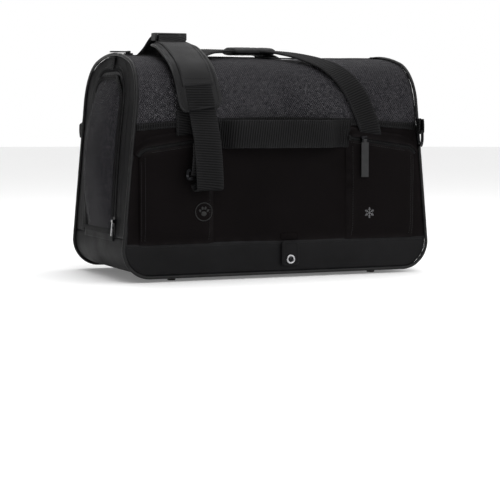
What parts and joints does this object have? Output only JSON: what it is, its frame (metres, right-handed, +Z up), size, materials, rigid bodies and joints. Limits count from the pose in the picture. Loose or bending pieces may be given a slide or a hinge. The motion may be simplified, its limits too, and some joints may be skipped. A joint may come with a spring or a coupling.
{
  "type": "pet carrier bag",
  "caption": "Soft-sided pet carrier bag with a D-shaped mesh body, end doors, front pockets, carry handles, padded shoulder strap and a trolley strap.",
  "frame": {"origin": "on the floor under the middle of the bag, which is also the middle of the whole object, as a strap or ring stands out equally far on both sides", "axes": "+X along the length towards the right end, seen from the side with the trolley strap; -Y out of that side; +Z up"},
  "size_m": [0.458, 0.284, 0.3349],
  "materials": {
    "pocket_fabric": "matte woven polyester, near black",
    "coated_fabric": "smooth coated polyester, black, slight sheen",
    "mesh_fabric": "open knitted mesh, charcoal",
    "webbing": "ribbed polyester webbing, black",
    "pad_fabric": "satin padded sleeve, black",
    "piping": "piping, satin black",
    "zip_coil": "nylon coil",
    "black_metal": "black enamelled zinc",
    "silver_metal": "bright nickel",
    "hard_plastic": "moulded acetal, black",
    "rubber_foot": "moulded rubber",
    "spring_steel": "spring steel wire",
    "board": "stiff plastic board",
    "fleece": "short-pile fleece, grey"
  },
  "bodies": {
    "bag": {"bottom_board": "board", "bottom_panel": "coated_fabric", "door_zip_left": "zip_coil", "door_zip_right": "zip_coil", "dring_left": "black_metal", "dring_tab_left": "webbing", "dring_tab_right": "webbing", "end_frame_left": "coated_fabric", "end_frame_right": "coated_fabric", "far_eye": "black_metal", "far_hook": "black_metal", "feet": "rubber_foot", "hoop_left": "spring_steel", "hoop_right": "spring_steel", "mat": "fleece", "mesh_far": "mesh_fabric", "mesh_near": "mesh_fabric", "pocket_left": "pocket_fabric", "pocket_right": "pocket_fabric", "pocket_zip_left": "zip_coil", "pocket_zip_right": "zip_coil", "roof_zip": "zip_coil", "seam_piping": "piping", "shoulder_pad": "pad_fabric", "side_band_far": "coated_fabric", "side_band_near": "coated_fabric", "side_panel_far": "pocket_fabric", "side_panel_near": "pocket_fabric", "snap_hem": "webbing", "snap_stud": "silver_metal", "strap_far": "webbing", "trolley_strap": "webbing", "zip_tab_left": "webbing", "zip_tab_right": "webbing"},
    "door_left": {"door_mesh_left": "mesh_fabric", "door_border_left": "coated_fabric"},
    "door_left_slider": {"door_left_slider": "black_metal"},
    "door_left_pull": {"door_left_pull": "silver_metal"},
    "door_right": {"door_mesh_right": "mesh_fabric", "door_border_right": "coated_fabric"},
    "door_right_slider": {"door_right_slider": "black_metal"},
    "door_right_pull": {"door_right_pull": "silver_metal"},
    "roof_slider": {"roof_slider": "black_metal"},
    "roof_pull": {"roof_pull": "black_metal"},
    "pocket_left_slider": {"pocket_left_slider": "black_metal"},
    "pocket_left_pull": {"pocket_left_pull": "hard_plastic"},
    "pocket_right_slider": {"pocket_right_slider": "black_metal"},
    "pocket_right_pull": {"pocket_right_pull": "hard_plastic"},
    "handle": {"handle_near": "webbing", "handle_far": "webbing", "handle_wrap": "pad_fabric"},
    "snap_tab": {"snap_tab": "webbing", "snap_cap": "silver_metal"},
    "dring_right": {"dring_right": "black_metal"},
    "triglide": {"triglide": "hard_plastic"},
    "strap_tail": {"strap_tail": "webbing", "near_eye": "black_metal"},
    "near_hook": {"near_hook": "black_metal"},
    "near_gate": {"near_gate": "black_metal"},
    "far_gate": {"far_gate": "black_metal"}
  },
  "joints": [
    {"name": "door_left_hinge", "type": "hinge", "parent": "bag", "child": "door_left", "pos_m": [-0.2221, 0, 0.06], "axis": [0, -1, 0], "range_deg": [0, 100]},
    {"name": "door_left_zip", "type": "slide", "parent": "bag", "child": "door_left_slider", "axis": [0.0932, 0, 0.9956], "range_m": [0, 0.145]},
    {"name": "door_left_pull_swing", "type": "hinge", "parent": "door_left_slider", "child": "door_left_pull", "pos_m": [-0.22626, -0.06925, 0.08047], "axis": [0, 1, 0], "range_deg": [0, 150]},
    {"name": "door_right_hinge", "type": "hinge", "parent": "bag", "child": "door_right", "pos_m": [0.2221, 0, 0.06], "axis": [0, 1, 0], "range_deg": [0, 100]},
    {"name": "door_right_zip", "type": "slide", "parent": "bag", "child": "door_right_slider", "axis": [-0.0932, 0, 0.9956], "range_m": [0, 0.145]},
    {"name": "door_right_pull_swing", "type": "hinge", "parent": "door_right_slider", "child": "door_right_pull", "pos_m": [0.22626, -0.06925, 0.08047], "axis": [0, -1, 0], "range_deg": [0, 150]},
    {"name": "roof_zip_run", "type": "slide", "parent": "bag", "child": "roof_slider", "axis": [1, 0, 0], "range_m": [0, 0.12]},
    {"name": "roof_pull_swing", "type": "hinge", "parent": "roof_slider", "child": "roof_pull", "pos_m": [-0.18, 0, 0.30805], "axis": [0, 1, 0], "range_deg": [0, 160]},
    {"name": "pocket_left_zip_run", "type": "slide", "parent": "bag", "child": "pocket_left_slider", "axis": [-0.9898, 0, -0.1428], "range_m": [-0.008, 0.066]},
    {"name": "pocket_left_pull_swing", "type": "hinge", "parent": "pocket_left_slider", "child": "pocket_left_pull", "pos_m": [-0.114, -0.12215, 0.18848], "axis": [-1, 0, 0], "range_deg": [0, 2]},
    {"name": "pocket_right_zip_run", "type": "slide", "parent": "bag", "child": "pocket_right_slider", "axis": [0.9898, 0, -0.1428], "range_m": [-0.016, 0.066]},
    {"name": "pocket_right_pull_swing", "type": "hinge", "parent": "pocket_right_slider", "child": "pocket_right_pull", "pos_m": [0.123, -0.12215, 0.18718], "axis": [-1, 0, 0], "range_deg": [0, 150]},
    {"name": "handle_lift", "type": "slide", "parent": "bag", "child": "handle", "axis": [0, 0, 1], "range_m": [0, 0.03], "deforming": ["handle_near", "handle_far"]},
    {"name": "snap_tab_lift", "type": "hinge", "parent": "bag", "child": "snap_tab", "pos_m": [0.013, -0.1161, 0.0515], "axis": [-1, 0, 0], "range_deg": [0, 150]},
    {"name": "dring_right_swing", "type": "hinge", "parent": "bag", "child": "dring_right", "pos_m": [0.206, -0.129, 0.199], "axis": [-0.2501, -0.9682, 0], "range_deg": [-75, 75]},
    {"name": "triglide_run", "type": "slide", "parent": "bag", "child": "triglide", "axis": [0, 1, 0], "range_m": [0, 0.012]},
    {"name": "strap_tail_swing", "type": "hinge", "parent": "bag", "child": "strap_tail", "pos_m": [-0.12, -0.124, 0.2276], "axis": [-1, 0, 0], "range_deg": [0, 70]},
    {"name": "near_hook_swivel", "type": "hinge", "parent": "strap_tail", "child": "near_hook", "pos_m": [-0.12, -0.1294, 0.1358], "axis": [0, 0, 1], "range_deg": [-6, 6]},
    {"name": "near_gate_press", "type": "hinge", "parent": "near_hook", "child": "near_gate", "pos_m": [-0.1296, -0.1294, 0.1722], "axis": [0, 1, 0], "range_deg": [0, 22], "stiffness_Nm_per_rad": 0.03, "springref_deg": -20.05},
    {"name": "far_gate_press", "type": "hinge", "parent": "bag", "child": "far_gate", "pos_m": [-0.17551, 0.129, 0.22741], "axis": [0, 1, 0], "range_deg": [0, 22], "stiffness_Nm_per_rad": 0.03, "springref_deg": -20.05}
  ]
}
